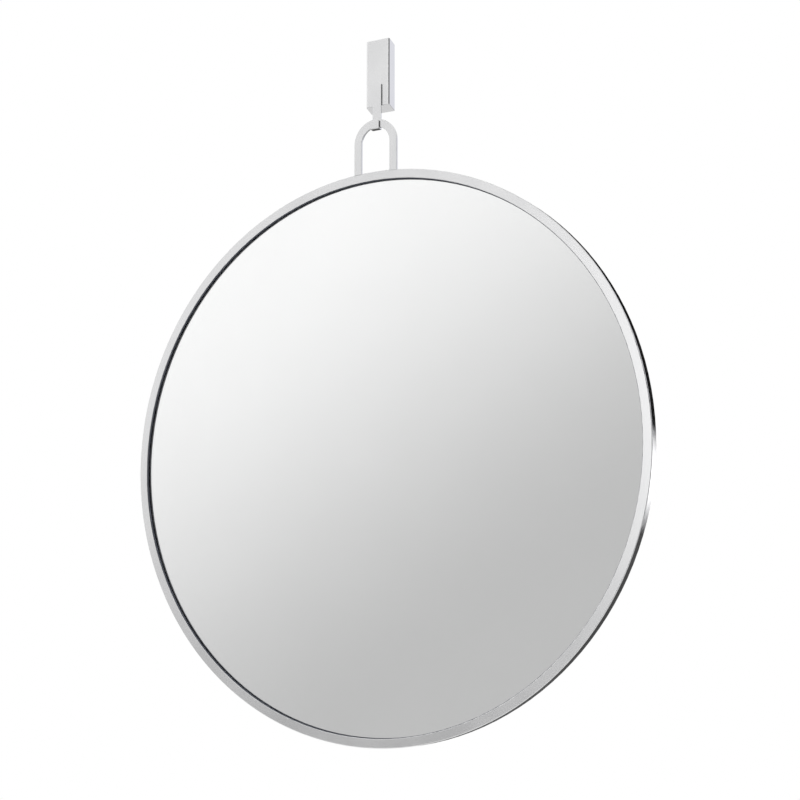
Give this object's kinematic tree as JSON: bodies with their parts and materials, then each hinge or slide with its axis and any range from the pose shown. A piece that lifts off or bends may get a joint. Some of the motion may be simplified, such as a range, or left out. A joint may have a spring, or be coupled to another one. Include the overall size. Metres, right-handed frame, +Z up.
{
  "type": "round wall mirror",
  "caption": "Round mirror in a thin metal ring whose welded top loop hangs on the J hook of a slim box bracket, which drops onto a screwed wall plate.",
  "frame": {"origin": "middle of the wall plate's back face, on the wall", "axes": "+Z up, +Y into the wall, +X to the right of someone facing the mirror"},
  "size_m": [0.762, 0.0246, 0.9503],
  "materials": {
    "polished_nickel": "polished plate, slightly satin",
    "zinc_steel": "bright zinc plate",
    "screw_steel": "dark oiled steel",
    "dark_rubber": "matt",
    "clear_glass": "polished",
    "mirror_silver": "silvered, painted on the back",
    "spacer_plastic": "matt",
    "foam": "matt foam",
    "hardboard": "smooth hardboard"
  },
  "bodies": {
    "wall_mount": {"wall_plate": "zinc_steel"},
    "bracket": {"bracket_shell": "polished_nickel", "cleat_bar": "zinc_steel", "hook_strap": "polished_nickel", "strap_backing_plate": "zinc_steel", "strap_studs": "screw_steel", "strap_nuts": "zinc_steel", "set_screw_nut": "zinc_steel"},
    "set_screw": {"set_screw": "screw_steel"},
    "mirror": {"frame_ring": "polished_nickel", "hanging_loop": "polished_nickel", "glazing_gasket": "dark_rubber", "mirror_glass": "clear_glass", "silver_backing": "mirror_silver", "edge_spacers": "spacer_plastic", "foam_tape": "foam", "backing_board": "hardboard", "retaining_tabs": "zinc_steel", "wall_bumpers": "dark_rubber"}
  },
  "joints": [
    {"name": "bracket_lift", "type": "slide", "parent": "wall_mount", "child": "bracket", "axis": [0, 0, 1], "range_m": [0, 0.008]},
    {"name": "set_screw_travel", "type": "slide", "parent": "bracket", "child": "set_screw", "axis": [-1, 0, 0], "range_m": [0, 0.003]},
    {"name": "mirror_swing", "type": "hinge", "parent": "bracket", "child": "mirror", "pos_m": [0, -0.0203, -0.09975], "axis": [0, 1, 0], "range_deg": [-90, 90]}
  ]
}
